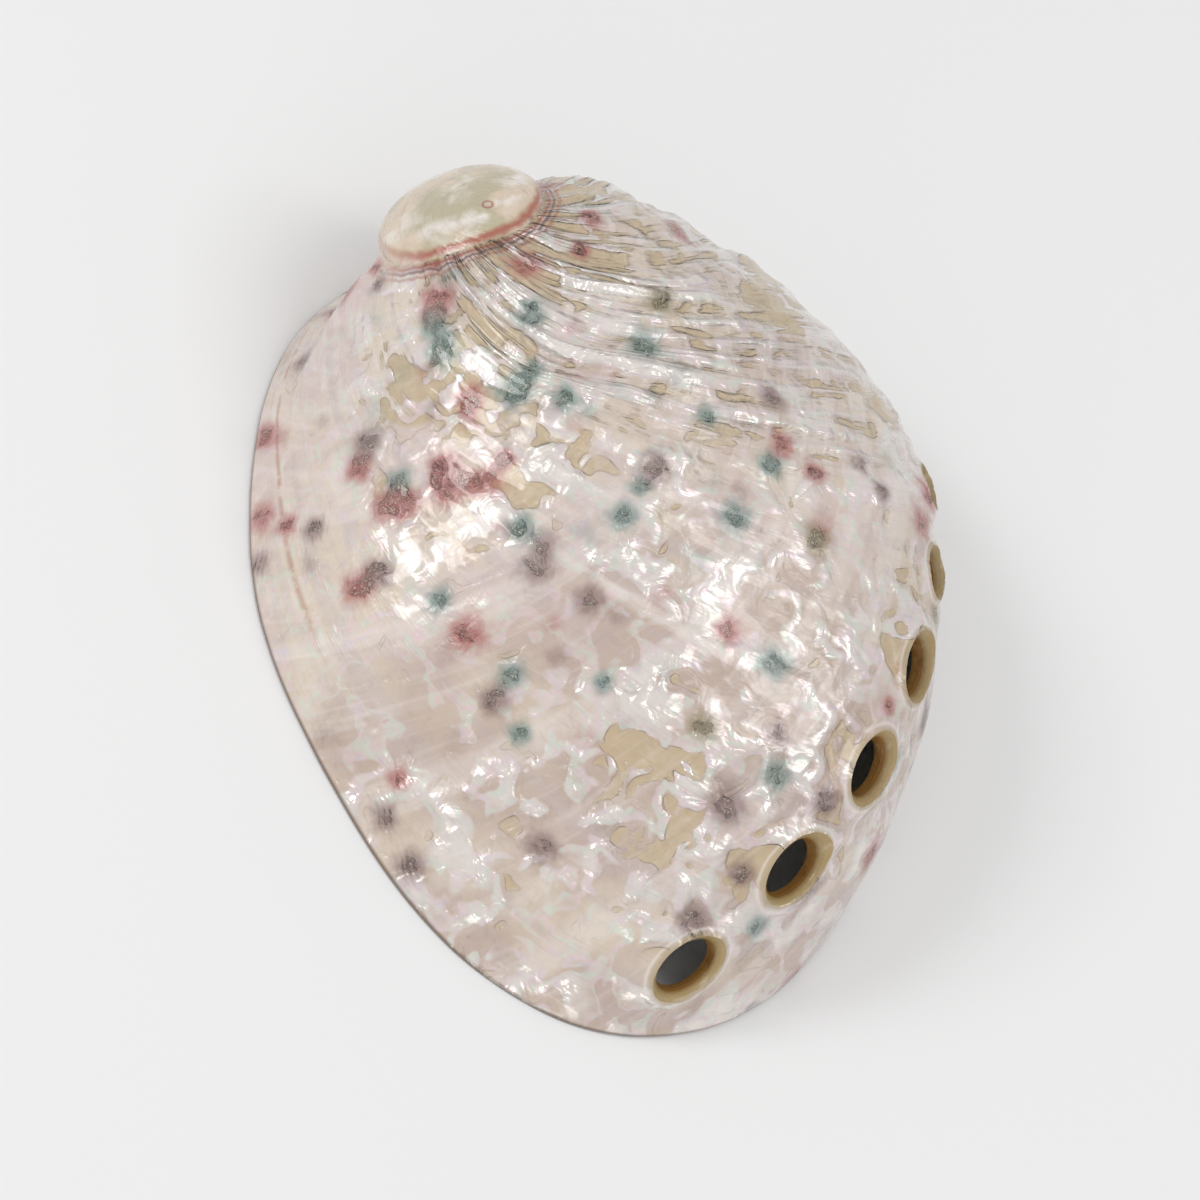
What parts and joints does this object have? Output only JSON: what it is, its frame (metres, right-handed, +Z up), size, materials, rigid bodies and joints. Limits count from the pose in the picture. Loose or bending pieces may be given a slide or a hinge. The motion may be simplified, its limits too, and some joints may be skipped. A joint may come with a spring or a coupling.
{
  "type": "abalone shell",
  "caption": "Polished abalone shell: a shallow pearly ear-shaped dome with a low flat spire near one end and a curved row of breathing holes, open underneath.",
  "frame": {"origin": "centre of the bounding box in X and Y, on the plane of the rim that the shell rests on", "axes": "+X towards the growing front of the shell, away from the spire; +Y towards the side with the row of holes; +Z up, out of the domed outside"},
  "size_m": [0.1574, 0.1222, 0.0507],
  "materials": {
    "pearl": "polished mother-of-pearl, milky pink-white with brick-red, grey-green and tan mottling"
  },
  "bodies": {
    "root": {"shell": "pearl"}
  },
  "joints": []
}
